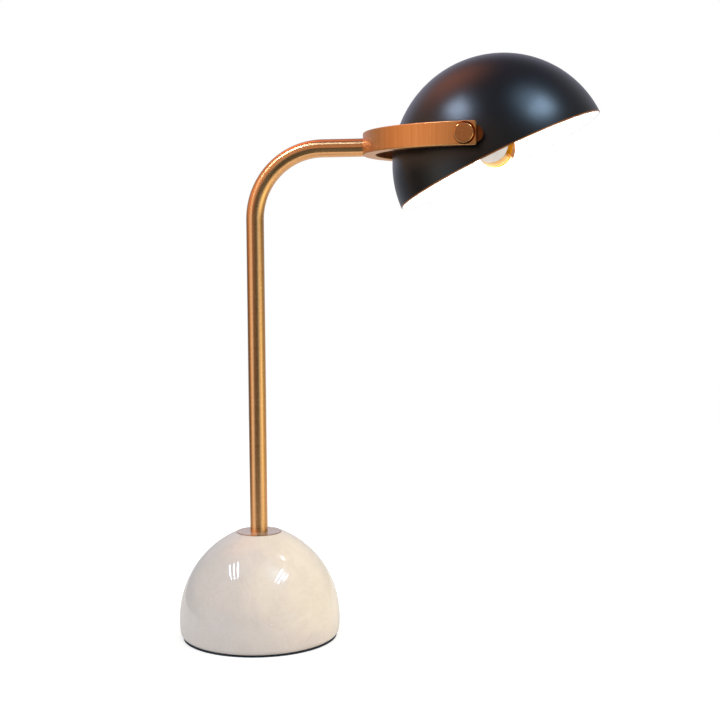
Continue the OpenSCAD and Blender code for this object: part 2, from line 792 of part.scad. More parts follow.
module bulb_glass() {
    color([1, 0.97, 0.9]) at_holder() translate([0, 0, bulb_end]) rotate_extrude() difference() {
        glass_outline(0);
        glass_outline(glass_t);
    }
}

module bulb_stem() {
    color([0.9, 0.85, 0.6]) at_holder() translate([0, 0, bulb_end + glass_t]) {
        cylinder(r = 6, h = 3);
        cylinder(r = 2.4, h = globe_centre - bulb_end + 4);
    }
}

base_stone();
base_pad();
cover_disc();
clamp_washer();
clamp_nut();
threaded_rod();
outlet_bush();
terminal_block();
terminal_screws();
earth_tag();
stem_bushing();
stem_tube();
stand_wires();
stand_lead();
yoke();
yoke_lead();
bearing_plates();
wave_washers();
pivot_caps();
shade_shell();
friction_washers();
outer_saddles();
inner_saddles();
hollow_pivots();
pivot_nuts();
shade_lead();
bracket_studs();
holder_bracket();
bracket_nuts();
entry_nipple();
nipple_nut();
holder_cup();
holder_core();
core_ring();
holder_terminals();
holder_wires();
screw_shell();
centre_contact();
bulb_cap();
bulb_insulator();
bulb_contact();
bulb_glass();
bulb_stem();
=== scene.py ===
import math

import bmesh
import bpy
import numpy as np
from mathutils import Matrix, Vector


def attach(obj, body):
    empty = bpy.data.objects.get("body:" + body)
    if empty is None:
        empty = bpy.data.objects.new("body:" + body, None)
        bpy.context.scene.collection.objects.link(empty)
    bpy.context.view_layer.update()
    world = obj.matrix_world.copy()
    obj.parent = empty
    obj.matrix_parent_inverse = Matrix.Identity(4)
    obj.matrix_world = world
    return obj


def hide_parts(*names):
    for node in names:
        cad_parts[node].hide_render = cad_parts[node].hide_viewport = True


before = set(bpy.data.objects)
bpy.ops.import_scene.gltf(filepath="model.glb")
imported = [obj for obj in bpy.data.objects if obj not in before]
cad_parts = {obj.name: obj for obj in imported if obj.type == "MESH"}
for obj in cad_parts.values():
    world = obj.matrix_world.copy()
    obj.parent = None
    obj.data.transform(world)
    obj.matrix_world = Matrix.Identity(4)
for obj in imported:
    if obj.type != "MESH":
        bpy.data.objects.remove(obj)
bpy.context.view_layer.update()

# ---- Camera ----
# A short telephoto lens a little over a metre in front of the lamp and just below its
# arm, turned slightly to the left and tipped slightly down.
camera_place = Vector((0.2881, -1.1364, 0.34895))
camera_turn, camera_tip, camera_roll = -0.1683, 0.0815, -0.00644
ahead = Vector((math.sin(camera_turn), math.cos(camera_turn), 0))
across = Vector((math.cos(camera_turn), -math.sin(camera_turn), 0))
view_line = ahead * math.cos(camera_tip) - Vector((0, 0, 1)) * math.sin(camera_tip)
view_up = Vector((0, 0, 1)) * math.cos(camera_tip) + ahead * math.sin(camera_tip)
camera_right = across * math.cos(camera_roll) + view_up * math.sin(camera_roll)
camera_up = view_up * math.cos(camera_roll) - across * math.sin(camera_roll)
camera_data = bpy.data.cameras.new("camera")
camera_data.sensor_width = 36.0
camera_data.lens = 64.54
camera = bpy.data.objects.new("camera", camera_data)
turn = Matrix((camera_right, camera_up, -view_line)).transposed()
camera.matrix_world = Matrix.Translation(camera_place) @ turn.to_4x4()
bpy.context.scene.collection.objects.link(camera)
bpy.context.scene.camera = camera
bpy.context.scene.view_settings.view_transform = "Standard"


# ---- Floor and backdrop ----
# A white table top that keeps a faint shadow of the foot and ends a little in front of
# it, before a white backdrop. Both show white and light the lamp evenly from all round.
def finish(name, **sockets):
    """A material with one shader. What is the same all over goes on its own sockets."""
    material = bpy.data.materials.new(name)
    material.use_nodes = True
    shader = material.node_tree.nodes["Principled BSDF"]
    for socket, value in sockets.items():
        shader.inputs[socket.replace("_", " ")].default_value = value
    return material


def put(owner, kind, settings=None, **inputs):
    """Adds a node. An input takes a number, a colour or another node's output."""
    made = owner.node_tree.nodes.new("ShaderNode" + kind)
    for key, value in (settings or {}).items():
        setattr(made, key, value)
    for key, value in inputs.items():
        join(owner, value, made.inputs[key.replace("_", " ")])
    return made


def join(owner, value, socket):
    if isinstance(value, bpy.types.NodeSocket):
        owner.node_tree.links.new(value, socket)
    else:
        socket.default_value = value


def tone(red, green, blue):
    """A colour as the eye reads it, 0 to 255, turned into light."""
    light = [((c / 255 + 0.055) / 1.055) ** 2.4 if c > 10 else c / 3295 for c in (red, green, blue)]
    return (*light, 1.0)


def shown(owner, in_gloss=1.0):
    """1 where the eye or glass looks, in_gloss in a reflection, and 0 where light falls."""
    path = put(owner, "LightPath")
    mirrored = put(owner, "Math", {"operation": "MULTIPLY"})
    join(owner, path.outputs["Is Glossy Ray"], mirrored.inputs[0])
    mirrored.inputs[1].default_value = in_gloss
    either = put(owner, "Math", {"operation": "MAXIMUM"})
    join(owner, path.outputs["Is Camera Ray"], either.inputs[0])
    join(owner, mirrored.outputs[0], either.inputs[1])
    any_of = put(owner, "Math", {"operation": "MAXIMUM"})
    join(owner, either.outputs[0], any_of.inputs[0])
    join(owner, path.outputs["Is Transmission Ray"], any_of.inputs[1])
    return any_of.outputs[0]


crease = 35


def build(name, points, faces, materials, index=None, sharp=crease):
    """A mesh object from points in metres, with smooth faces that meet sharply at its edges."""
    mesh = bpy.data.meshes.new(name)
    mesh.from_pydata([tuple(p) for p in points], [], faces)
    for material in materials:
        mesh.materials.append(material)
    if index is not None:
        mesh.polygons.foreach_set("material_index", index)
    mesh.shade_smooth()
    if sharp:
        mesh.set_sharp_from_angle(angle=math.radians(sharp))
    mesh.update()
    piece = bpy.data.objects.new(name, mesh)
    bpy.context.scene.collection.objects.link(piece)
    return piece


floor_left, floor_right, floor_front, floor_back = -0.45, 0.60, -0.30, 1.5
floor_lift, floor_in_gloss = 0.38, 0.15
floor_white = finish("floor_white", Base_Color=(0.85, 0.85, 0.85, 1), Roughness=1.0, Specular_IOR_Level=0.0)
floor_white.node_tree.nodes["Principled BSDF"].inputs["Emission Color"].default_value = (1, 1, 1, 1)
lift = put(floor_white, "Math", {"operation": "MULTIPLY"})
join(floor_white, shown(floor_white, floor_in_gloss), lift.inputs[0])
lift.inputs[1].default_value = floor_lift
join(floor_white, lift.outputs[0],
     floor_white.node_tree.nodes["Principled BSDF"].inputs["Emission Strength"])
floor = build("floor", [(floor_left, floor_front, 0), (floor_right, floor_front, 0),
                        (floor_right, floor_back, 0), (floor_left, floor_back, 0)], [[0, 1, 2, 3]], [floor_white])

backdrop_level = 0.66
world = bpy.data.worlds.new("backdrop")
world.use_nodes = True
bpy.context.scene.world = world
world.node_tree.nodes.clear()
even = put(world, "Background", Color=(1.0, 0.985, 0.96, 1), Strength=backdrop_level)
white = put(world, "Background", Color=(1, 1, 1, 1), Strength=1.0)
blend = put(world, "MixShader")
join(world, shown(world), blend.inputs[0])
join(world, even.outputs[0], blend.inputs[1])
join(world, white.outputs[0], blend.inputs[2])
join(world, blend.outputs[0], put(world, "OutputWorld").inputs["Surface"])


# ---- Room that shows in the polish ----
# Polished metal and paint mirror the room, so a wide drum stands round the lamp that only
# reflections see: cool behind, warm to the left, and dark where the camera stands.
def ramp(owner, place, stops):
    """A colour that changes along 0 to 1, from a list of (place, colour)."""
    made = put(owner, "ValToRGB", Fac=place)
    band = made.color_ramp
    while len(band.elements) < len(stops):
        band.elements.new(0.5)
    for element, (at, colour) in zip(band.elements, stops):
        element.position = at
        element.color = colour
    return made.outputs["Color"]


def compass(degrees):
    """Where a bearing lies on the drum's ramp: 0 faces the camera, 90 is to its right."""
    return (degrees + 180) / 360


drum_reach = 3.4
drum_height = 0.35
drum = finish("drum")
spot = put(drum, "TexCoord").outputs["Object"]
parts = put(drum, "SeparateXYZ", Vector=spot)
bearing = put(drum, "Math", {"operation": "ARCTAN2"})
join(drum, parts.outputs["X"], bearing.inputs[0])
flip = put(drum, "Math", {"operation": "MULTIPLY"})
join(drum, parts.outputs["Y"], flip.inputs[0])
flip.inputs[1].default_value = -1.0
join(drum, flip.outputs[0], bearing.inputs[1])
round_place = put(drum, "MapRange", Value=bearing.outputs[0], From_Min=-math.pi, From_Max=math.pi).outputs[0]
low_band = ramp(drum, round_place, [
    (compass(-180), (0.60, 0.62, 0.68, 1)), (compass(-132), (0.28, 0.31, 0.36, 1)),
    (compass(-97), (0.04, 0.04, 0.04, 1)), (compass(-79), (0.32, 0.28, 0.21, 1)),
    (compass(-59), (1.1, 1.1, 1.05, 1)), (compass(-43), (0.78, 0.92, 1.08, 1)),
    (compass(-22), (0.05, 0.07, 0.07, 1)), (compass(14), (0.07, 0.08, 0.07, 1)),
    (compass(34), (0.15, 0.18, 0.16, 1)), (compass(58), (1.1, 1.2, 0.9, 1)),
    (compass(76), (2.3, 2.4, 1.6, 1)), (compass(104), (0.7, 0.7, 0.45, 1)),
    (compass(134), (0.45, 0.42, 0.32, 1)), (compass(180), (0.60, 0.62, 0.68, 1))])
mid_band = ramp(drum, round_place, [
    (compass(-180), (0.60, 0.62, 0.68, 1)), (compass(-132), (0.28, 0.31, 0.36, 1)),
    (compass(-97), (0.03, 0.03, 0.03, 1)), (compass(-80), (0.30, 0.26, 0.20, 1)),
    (compass(-60), (1.2, 1.2, 1.15, 1)), (compass(-45), (0.85, 1.0, 1.2, 1)),
    (compass(-26), (0.03, 0.04, 0.04, 1)), (compass(6), (0.03, 0.03, 0.03, 1)),
    (compass(32), (0.08, 0.11, 0.12, 1)), (compass(52), (1.0, 1.25, 1.35, 1)),
    (compass(64), (0.95, 1.0, 1.0, 1)), (compass(82), (0.10, 0.11, 0.10, 1)),
    (compass(134), (0.28, 0.33, 0.35, 1)), (compass(180), (0.60, 0.62, 0.68, 1))])
cool_backdrop = (0.6, 0.6, 0.75, 1)
shadow_gap = (0.35, 0.3, 0.25, 1)
warm_wall = (1.0, 0.6, 0.4, 1)
camera_side = (0.25, 0.25, 0.25, 1)
high_band = ramp(drum, round_place, [
    (compass(-180), cool_backdrop), (compass(-140), cool_backdrop), (compass(-120), shadow_gap),
    (compass(-90), warm_wall), (compass(-45), warm_wall), (compass(15), camera_side),
    (compass(120), camera_side), (compass(180), cool_backdrop)])
ceiling = (0.15, 0.15, 0.2, 1)
low_to_mid, mid_to_high, high_to_ceiling = (-0.075, -0.035), (0.02, 0.08), (0.5, 0.8)


def past(heights):
    """0 to 1 between two heights on the drum, given as parts of its reach."""
    return put(drum, "MapRange", Value=parts.outputs["Z"], From_Min=heights[0] * drum_reach,
               From_Max=heights[1] * drum_reach).outputs[0]


skirting = put(drum, "MixRGB", Fac=past(low_to_mid), Color1=low_band, Color2=mid_band).outputs[0]
walls = put(drum, "MixRGB", Fac=past(mid_to_high), Color1=skirting, Color2=high_band).outputs[0]
room_colour = put(drum, "MixRGB", Fac=past(high_to_ceiling), Color1=walls, Color2=ceiling).outputs[0]


def card(ground, degrees, height, size, colour):
    """A soft round patch of another colour on the drum, at a bearing and a height in degrees."""
    side_turn, lift_turn = math.radians(degrees), math.radians(height)
    middle = Vector((math.sin(side_turn) * math.cos(lift_turn), -math.cos(side_turn) * math.cos(lift_turn),
                     math.sin(lift_turn))) * drum_reach
    apart = put(drum, "VectorMath", {"operation": "DISTANCE"})
    join(drum, spot, apart.inputs[0])
    apart.inputs[1].default_value = middle
    near = put(drum, "MapRange", {"interpolation_type": "SMOOTHSTEP"}, Value=apart.outputs["Value"],
               From_Min=0.0, From_Max=size * drum_reach, To_Min=1.0, To_Max=0.0)
    return put(drum, "MixRGB", Fac=near.outputs[0], Color1=ground, Color2=colour).outputs[0]


room_colour = card(room_colour, degrees=-124, height=58, size=0.55, colour=(2.0, 0.75, 0.48, 1))
room_colour = card(room_colour, degrees=60, height=54, size=0.42, colour=(2.4, 3.6, 5.0, 1))
glow = put(drum, "Emission", Color=room_colour, Strength=1.0)
join(drum, glow.outputs[0], drum.node_tree.nodes["Material Output"].inputs["Surface"])
drum.cycles.emission_sampling = "NONE"
around, upward = 64, 32
drum_points = [(drum_reach * math.cos(t) * math.cos(a), drum_reach * math.cos(t) * math.sin(a),
                drum_reach * math.sin(t))
               for t in np.linspace(-math.pi / 2, math.pi / 2, upward)
               for a in np.linspace(0, 2 * math.pi, around, endpoint=False)]
drum_faces = [[i * around + k, i * around + (k + 1) % around, (i + 1) * around + (k + 1) % around,
               (i + 1) * around + k] for i in range(upward - 1) for k in range(around)]
room = build("room", drum_points, drum_faces, [drum], sharp=None)
room.location.z = drum_height
for sight in ("camera", "diffuse", "transmission", "volume_scatter", "shadow"):
    setattr(room, "visible_" + sight, False)


# ---- Lights ----
# Two ceiling lights of three tubes each, left and right of the camera. Their bars show in
# the polished stone, while soft panels in the same places do the lighting itself. A weak
# warm panel and a weak cool one fill the two sides.
def lamp(name, place, towards, width, length, radiance, colour, in_gloss):
    """An area light that either shows in gloss or lights the colours, but not both."""
    data = bpy.data.lights.new(name, "AREA")
    data.shape = "RECTANGLE"
    data.size, data.size_y = width, length
    data.energy = radiance * math.pi * width * length
    data.color = colour
    made = bpy.data.objects.new(name, data)
    direction = Vector(towards) - Vector(place)
    made.rotation_euler = direction.to_track_quat("-Z", "Y").to_euler()
    made.location = place
    made.visible_glossy = in_gloss
    made.visible_diffuse = not in_gloss
    made.visible_camera = False
    bpy.context.scene.collection.objects.link(made)
    return made


tube_width, tube_length, ceiling_height = 0.08, 1.25, 2.6
panel_width, panel_light = 0.8, 7.5
for name, middle, step, back, tube_light, tube_colour in (
        ("left", -1.54, 0.33, -1.08, 66.0, (0.60, 0.75, 1.0)),
        ("right", 1.96, 0.30, -0.93, 46.0, (0.52, 0.74, 1.0))):
    for k in (-1, 0, 1):
        x = middle + k * step
        lamp(f"tube_{name}_{k + 2}", (x, back, ceiling_height), (x, back, 0),
             tube_width, tube_length, tube_light, tube_colour, True)
    lamp(f"panel_{name}", (middle, back, ceiling_height), (middle, back, 0),
         panel_width, tube_length, panel_light, (0.93, 0.97, 1.0), False)
side_size, side_aim = 1.0, (0.0, 0.0, 0.06)
lamp("warm_side", (1.5, -0.7, 0.9), side_aim, side_size, side_size,
     radiance=1.6, colour=(1.0, 0.86, 0.70), in_gloss=False)
lamp("cool_side", (-1.1, -1.3, 0.5), side_aim, side_size, side_size,
     radiance=0.9, colour=(0.90, 0.98, 1.0), in_gloss=False)


# ---- Pad ----
# A disc of dense dark foam under the stone, glued on so that the lamp doesn't mark the
# table. It shows as a thin dark line under the foot.
mm = 0.001


def grained(name, tones, size, rough, bump=0.1, depth=0.1 * mm, stretch=(1, 1, 1), lie=None,
            spread=(0.35, 0.65), **sockets):
    """A finish whose colour, gloss and surface all vary with one grain of that size."""
    material = finish(name, **sockets)
    shader = material.node_tree.nodes["Principled BSDF"]
    if lie:
        start = put(material, "Attribute", {"attribute_name": lie}).outputs["Vector"]
    else:
        start = put(material, "TexCoord").outputs["Object"]
    placed = put(material, "Mapping", Vector=start, Scale=stretch).outputs[0]
    grain = put(material, "TexNoise", Vector=placed, Scale=1 / size, Detail=5.0, Roughness=0.6).outputs["Fac"]
    colour = ramp(material, grain, [(spread[0], tones[0]), (spread[1], tones[1])])
    join(material, colour, shader.inputs["Base Color"])
    gloss = put(material, "MapRange", Value=grain, From_Min=spread[0], From_Max=spread[1],
                To_Min=rough[0], To_Max=rough[1]).outputs[0]
    join(material, gloss, shader.inputs["Roughness"])
    relief = put(material, "Bump", Height=grain, Strength=bump, Distance=depth).outputs[0]
    join(material, relief, shader.inputs["Normal"])
    return material


def dress(node, material, edge=0.0):
    """Gives a node of the frame its finish, with its edges just broken."""
    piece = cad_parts[node]
    for k in range(len(piece.material_slots)):
        piece.material_slots[k].material = material
    if edge:
        soft = piece.modifiers.new("edge", "BEVEL")
        soft.width = edge
        soft.segments = 2
        soft.limit_method = "ANGLE"
        soft.angle_limit = math.radians(40)
        soft.harden_normals = True


foam = grained("foam", (tone(20, 36, 50), tone(40, 58, 74)), 0.9 * mm, (0.75, 0.95), bump=0.4, depth=0.2 * mm)
pad_radius, pad_thickness, pad_edge = 70.6, 0.95, 0.25


def arc(centre, radius, start, end, steps):
    """Points (radius, height) along an arc, with angles in degrees from level."""
    return [(centre[0] + radius * math.cos(a), centre[1] + radius * math.sin(a))
            for a in np.radians(np.linspace(start, end, steps))]


def turned(name, outline, materials, steps=192, parts_of=None, place=Matrix(), sharp=crease):
    """Spins a closed outline of (radius, height) points round its own axis."""
    n = len(outline)
    brush_round = 0.3
    turn_angles = np.linspace(0, 2 * math.pi, steps, endpoint=False)
    points = [place @ Vector((r * math.cos(a), r * math.sin(a), h)) for a in turn_angles for r, h in outline]
    faces = [[k * n + i, ((k + 1) % steps) * n + i, ((k + 1) % steps) * n + (i + 1) % n, k * n + (i + 1) % n]
             for k in range(steps) for i in range(n)]
    index = [parts_of(i) for _ in range(steps) for i in range(n)] if parts_of else None
    piece = build(name, points, faces, materials, index, sharp)
    run = np.concatenate([[0], np.cumsum([math.dist(outline[i], outline[(i + 1) % n]) for i in range(n)])])
    brush = piece.data.uv_layers.new(name="brush")
    marks = []
    for k in range(steps):
        for i in range(n):
            for along, turn_step in ((run[i], k), (run[i], k + 1), (run[i + 1], k + 1), (run[i + 1], k)):
                marks += [along, turn_step / steps * brush_round]
    brush.data.foreach_set("uv", marks)
    lie = piece.data.attributes.new("lie", "FLOAT_VECTOR", "POINT")
    lie.data.foreach_set("vector", [c for a in turn_angles for i, (r, h) in enumerate(outline)
                                    for c in (run[i], r * math.cos(a), r * math.sin(a))])
    return piece


def weld(piece):
    """Joins points that fall together, such as those on the axis of a turned piece."""
    cleaned = bmesh.new()
    cleaned.from_mesh(piece.data)
    bmesh.ops.remove_doubles(cleaned, verts=cleaned.verts, dist=1e-7)
    bmesh.ops.dissolve_degenerate(cleaned, edges=cleaned.edges, dist=1e-7)
    bmesh.ops.recalc_face_normals(cleaned, faces=cleaned.faces)
    cleaned.to_mesh(piece.data)
    cleaned.free()
    return piece


pad_outline = (
    [(0, 0)]
    + arc((pad_radius - pad_edge, pad_edge), pad_edge, -90, 0, 5)
    + [(pad_radius, pad_thickness), (0, pad_thickness)])
pad = weld(turned("foot_pad", [(r * mm, h * mm) for r, h in pad_outline], [foam]))
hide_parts("base_pad")
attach(pad, "stand")


# ---- Stone ----
# A solid dome of cream marble, turned on a lathe, hollowed underneath for the wiring and
# polished all over. Its foot is rounded and a channel for the cord is drilled in the back.
def cut(piece, *cutters):
    """Takes the cutters out of a piece and throws them away."""
    for cutter in cutters:
        tool = piece.modifiers.new("cut", "BOOLEAN")
        tool.operation = "DIFFERENCE"
        tool.solver = "EXACT"
        tool.material_mode = "TRANSFER"
        tool.object = cutter
    bpy.context.view_layer.update()
    done = bpy.data.meshes.new_from_object(piece.evaluated_get(bpy.context.evaluated_depsgraph_get()))
    piece.modifiers.clear()
    piece.data = done
    for cutter in cutters:
        bpy.data.objects.remove(cutter)
    done.shade_smooth()
    done.set_sharp_from_angle(angle=math.radians(crease))
    return piece


def facing(point, direction):
    """A place at a point in millimetres, with its own up along a direction."""
    up = Vector(direction).normalized()
    return Matrix.Translation(Vector(point) * mm) @ up.to_track_quat("Z", "Y").to_matrix().to_4x4()


def peg(radius, low, high, place, steps=96, material=None, flare=0.0):
    """A round rod that a hole is cut with, sizes in millimetres. Flare widens it upwards."""
    outline = [(0, low * mm), (radius * mm, low * mm), ((radius + flare) * mm, high * mm), (0, high * mm)]
    return weld(turned("peg", outline, [material] if material else [], steps, place=place))


stone_radius, waist_height, side_arc = 73.5, 17.0, 86.0
stone_top, stone_foot, foot_round = 96.1, 0.95, 6.0
recess_radius, recess_top, rod_hole = 32.0, 30.0, 5.6
side_centre = stone_radius - side_arc
round_height = stone_foot + foot_round
round_centre = side_centre + math.sqrt((side_arc - foot_round) ** 2 - (waist_height - round_height) ** 2)
meet = math.degrees(math.atan2(round_height - waist_height, round_centre - side_centre))
top_angle = math.degrees(math.asin((stone_top - waist_height) / side_arc))
edge_break, foot_start, foot_gap, top_gap = 0.5, -84, 0.6, 0.4
stone_outline = (
    [(recess_radius, stone_foot)]
    + [(round_centre, stone_foot)]
    + arc((round_centre, round_height), foot_round, foot_start, meet, 12)
    + arc((side_centre, waist_height), side_arc, meet + foot_gap, top_angle - top_gap, 90)
    + [(side_centre + side_arc * math.cos(math.radians(top_angle)) - edge_break, stone_top)]
    + [(rod_hole, stone_top), (rod_hole, recess_top), (recess_radius, recess_top)])
stone_outline = [(r * mm, h * mm) for r, h in stone_outline]

# The stone's ground colour is painted paler and warmer towards its right side and top and greyer towards its left:
# painted light from that side, laid under the marble's own clouds, veins and flecks.
painted_light_towards, cloudiness = (5.5, 0.0, 4.0), 0.6
marble = finish("marble", Roughness=0.03, Specular_IOR_Level=0.4)
shader = marble.node_tree.nodes["Principled BSDF"]
where = put(marble, "TexCoord").outputs["Object"]
cloud = put(marble, "TexNoise", Vector=where, Scale=16.0, Detail=6.0, Roughness=0.55, Distortion=0.6)
corner = put(marble, "VectorMath", {"operation": "DOT_PRODUCT"})
join(marble, where, corner.inputs[0])
corner.inputs[1].default_value = painted_light_towards
cloud_and_painted_light = put(marble, "Math", {"operation": "MULTIPLY_ADD"})
join(marble, cloud.outputs["Fac"], cloud_and_painted_light.inputs[0])
cloud_and_painted_light.inputs[1].default_value = cloudiness
join(marble, corner.outputs["Value"], cloud_and_painted_light.inputs[2])
# Grey on the shaded side to cream on the lit side: painted light and shade, mixed with the marble's clouds.
ground = ramp(marble, cloud_and_painted_light.outputs[0], [
    (0.28, tone(206, 199, 196)), (0.50, tone(212, 203, 197)), (0.64, tone(224, 212, 202)),
    (0.78, tone(238, 225, 208)), (0.96, tone(246, 235, 215))])
bed = put(marble, "TexNoise", Vector=where, Scale=42.0, Detail=8.0, Roughness=0.7, Distortion=1.4)
vein = ramp(marble, bed.outputs["Fac"], [
    (0.44, (1, 1, 1, 1)), (0.495, (0.955, 0.945, 0.935, 1)), (0.51, (1.0, 0.99, 0.975, 1)), (0.56, (1, 1, 1, 1))])
veined = put(marble, "MixRGB", {"blend_type": "MULTIPLY"}, Fac=1.0, Color1=ground, Color2=vein).outputs[0]
fleck = put(marble, "TexVoronoi", Vector=where, Scale=260.0)
speck = ramp(marble, fleck.outputs["Distance"], [(0.05, (1, 1, 1, 1)), (0.16, (0, 0, 0, 1))])
few = put(marble, "TexNoise", Vector=where, Scale=60.0, Detail=2.0)
rare = ramp(marble, few.outputs["Fac"], [(0.56, (0, 0, 0, 1)), (0.66, (0.55, 0.55, 0.55, 1))])
amount = put(marble, "Math", {"operation": "MULTIPLY"})
join(marble, speck, amount.inputs[0])
join(marble, rare, amount.inputs[1])
flecked = put(marble, "MixRGB", Fac=amount.outputs[0], Color1=veined, Color2=tone(247, 245, 238)).outputs[0]
join(marble, flecked, shader.inputs["Base Color"])
wave = put(marble, "Bump", Height=few.outputs["Fac"], Strength=0.002, Distance=0.1 * mm)
join(marble, wave.outputs[0], shader.inputs["Normal"])

cord_height, cord_channel, cord_seat, cord_seat_radius = 16.0, 4.8, 72.6, 6.7
in_recess, past_stone = 20, 90
stone = turned("stone", stone_outline, [marble], steps=256)
backward = facing((0, 0, cord_height), (-1, 0, 0))
stone = cut(stone, peg(cord_channel, in_recess, past_stone, backward, 48),
            peg(cord_seat_radius, cord_seat, past_stone, backward, 64))
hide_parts("base_stone")
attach(stone, "stand")


# ---- Fixings through the stone ----
# A hollow threaded rod holds the stem down on the stone: a plated washer and nut pull on
# it from the recess, and a steel bushing joins it to the foot of the stem.
plated = grained("plated_steel", (tone(168, 171, 176), tone(198, 200, 203)), 1.4 * mm, (0.24, 0.38),
                 bump=0.12, depth=0.03 * mm, stretch=(1, 1, 6), Metallic=1.0)
for node in ("clamp_washer", "clamp_nut", "threaded_rod", "stem_bushing"):
    dress(node, plated, edge=0.15 * mm if node != "threaded_rod" else 0)
bright = grained("bright_brass", (tone(214, 164, 84), tone(240, 196, 112)), 1.6 * mm, (0.2, 0.34),
                 bump=0.1, depth=0.03 * mm, Metallic=1.0)
dress("earth_tag", bright, edge=0.1 * mm)


# ---- Cord outlet ----
# A moulded black rubber bush in the back of the stone, which the cord would pass through.
# Its flange sits in a shallow seat.
rubber = grained("black_rubber", (tone(22, 22, 25), tone(38, 38, 42)), 0.6 * mm, (0.5, 0.72),
                 bump=0.25, depth=0.05 * mm)
dress("outlet_bush", rubber, edge=0.3 * mm)


# ---- Wiring in the base ----
# A two-way terminal block in the recess, of white moulded plastic with steel screws, with
# the two red cores and the white sheath of the inner lead that goes up the stem.
moulded = grained("moulded_white", (tone(226, 224, 218), tone(238, 236, 231)), 1.2 * mm, (0.38, 0.5),
                  bump=0.1, depth=0.04 * mm)
sheath = grained("sheath_white", (tone(222, 219, 212), tone(236, 233, 227)), 1.0 * mm, (0.42, 0.58),
                 bump=0.12, depth=0.05 * mm)
core = grained("core_red", (tone(150, 34, 28), tone(176, 48, 38)), 0.8 * mm, (0.4, 0.55),
               bump=0.1, depth=0.03 * mm)
dress("terminal_block", moulded, edge=0.3 * mm)
dress("terminal_screws", plated)
dress("stand_wires", core)
dress("stand_lead", sheath)


# ---- Cover disc ----
# A thin turned brass plate that covers the hole in the stone. It carries fine rings from
# the lathe, and the foot of the stem stands on it.
def brushed(name, tones, rough, line=1.1 * mm, run=14.0, strength=0.25, contrast=0.2, metal=1.0, lie="lie",
            **sockets):
    """Brass brushed with fine lines. They run across the direction that the gloss spreads."""
    material = grained(name, tones, line, rough, bump=strength, depth=0.02 * mm, stretch=(1.0, 1 / run, 1 / run),
                       lie=lie, spread=(0.5 - contrast, 0.5 + contrast), Metallic=metal, **sockets)
    shader = material.node_tree.nodes["Principled BSDF"]
    along = put(material, "Tangent", {"direction_type": "UV_MAP", "uv_map": "brush"})
    join(material, along.outputs[0], shader.inputs["Tangent"])
    return material


disc_radius, disc_thickness, disc_bevel, disc_hole = 20.3, 0.6, 0.2, 5.3
disc_foot, disc_rest = 0.1, 0.2
side_from, side_to = 1, 7
disc_top = stone_top + disc_thickness
disc_outline = (
    [(disc_hole, stone_top), (disc_radius - disc_foot, stone_top), (disc_radius, stone_top + disc_foot)]
    + arc((disc_radius - disc_bevel, disc_top - disc_bevel), disc_bevel, 0, 90, 6)
    + [(disc_radius - disc_bevel - disc_rest, disc_top)]
    + [(disc_hole, disc_top)])
disc_brass = brushed("disc_brass", (tone(220, 198, 170), tone(232, 211, 184)), (0.22, 0.28), line=0.7 * mm,
                     run=30.0, strength=0.05, metal=0.75, Anisotropic=0.4)
# The disc's narrow side takes a darker brown brass than its face: painted shade, standing in for the dark that its
# edge reflects.
disc_edge_shade = grained("disc_edge_shade", (tone(150, 98, 56), tone(172, 118, 72)), 1.2 * mm, (0.25, 0.35), bump=0.05,
                    depth=0.02 * mm, Metallic=1.0)
disc = turned("cover_plate", [(r * mm, h * mm) for r, h in disc_outline], [disc_brass, disc_edge_shade], steps=160,
              parts_of=lambda i: 1 if side_from <= i <= side_to else 0)
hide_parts("cover_disc")
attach(disc, "stand")


# ---- Stem ----
# A brass tube, bent over a former into one quarter turn, brushed round and round and then
# lacquered. Its far end is shaped to the back of the yoke and brazed on.
stem_radius, stem_bore = 8.0, 6.5
arm_height, bend_radius, stem_reach = 443.2, 62.3, 100.9


def stem_line():
    """Points along the middle of the stem with the direction of the tube at each."""
    bend_start = arm_height - bend_radius
    line = [((0, h), 0.0) for h in np.linspace(disc_top, bend_start, 60)]
    line += [((bend_radius * (1 - math.cos(a)), bend_start + bend_radius * math.sin(a)), a)
             for a in np.linspace(0, math.pi / 2, 40)[1:]]
    line += [((x, arm_height), math.pi / 2) for x in np.linspace(bend_radius, stem_reach, 14)[1:]]
    return line


def tube(name, line, outer, inner, material, sides=64):
    """A round tube along a line in the plane of the arm, open at both ends."""
    walls = [(outer, p, a) for p, a in line] + [(inner, p, a) for p, a in reversed(line)]
    brush_round = 0.05
    points, lies, run = [], [], [0.0]
    for k in range(1, len(walls)):
        run.append(run[-1] + math.dist(walls[k][1], walls[k - 1][1]))
    for k, (radius, (x, z), lean_angle) in enumerate(walls):
        for s in range(sides):
            a = 2 * math.pi * s / sides + math.pi / 2
            out, over = radius * math.cos(a), radius * math.sin(a)
            points.append(Vector((x + out * math.cos(lean_angle), over, z - out * math.sin(lean_angle))) * mm)
            lies += [run[k] * mm, out * mm, over * mm]
    rows = len(walls)
    faces, marks = [], []
    for k in range(rows):
        for s in range(sides):
            t, j = (s + 1) % sides, (k + 1) % rows
            faces.append([k * sides + s, j * sides + s, j * sides + t, k * sides + t])
            end_run = run[k + 1] if k + 1 < rows else run[k] + 1.0
            here, after = s / sides * brush_round, (s + 1) / sides * brush_round
            marks += [run[k] * mm, here, end_run * mm, here, end_run * mm, after, run[k] * mm, after]
    piece = build(name, points, faces, [material])
    piece.data.uv_layers.new(name="brush").data.foreach_set("uv", marks)
    piece.data.attributes.new("lie", "FLOAT_VECTOR", "POINT").data.foreach_set("vector", lies)
    return piece


stem_brass = brushed("stem_brass", (tone(222, 163, 108), tone(234, 177, 122)), (0.21, 0.24), line=0.5 * mm,
                     run=30.0, strength=0.02, Anisotropic=1.0)
stem = tube("stem", stem_line(), stem_radius, stem_bore, stem_brass)
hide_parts("stem_tube")
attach(stem, "stand")


